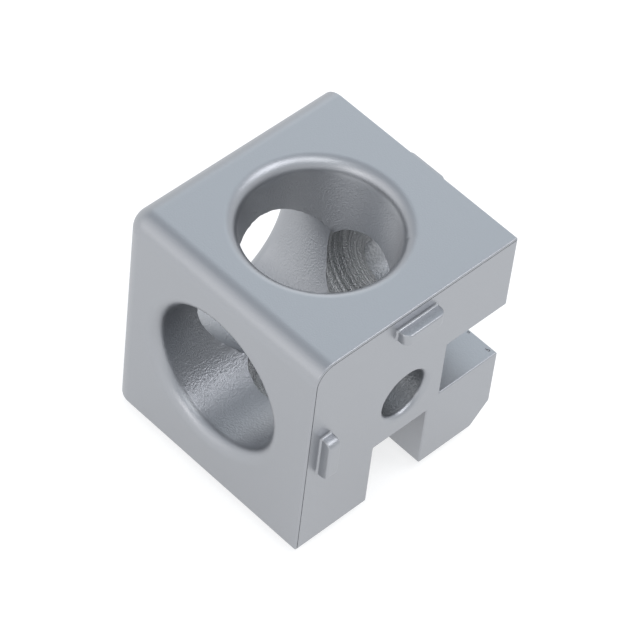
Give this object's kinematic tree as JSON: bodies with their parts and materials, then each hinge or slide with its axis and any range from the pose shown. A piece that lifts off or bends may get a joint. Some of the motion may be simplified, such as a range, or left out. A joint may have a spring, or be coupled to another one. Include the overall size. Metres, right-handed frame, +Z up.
{
  "type": "profile mounting coupler",
  "caption": "Cast cube coupler joining slotted profiles at a corner: screw recesses in outer faces, and screw holes, slot lugs and edge notches on joining faces.",
  "frame": {"origin": "centre of the lower joining face, at the mouth of its screw hole", "axes": "+Z up along the lower screw hole, through the middle of the upper recess; +X out of the right joining face; -Y out of the front joining face"},
  "size_m": [0.0316, 0.0316, 0.0316],
  "materials": {
    "cast_aluminium": "fine matte die casting with bare machined screw passages"
  },
  "bodies": {
    "root": {"coupler_body": "cast_aluminium"}
  },
  "joints": []
}
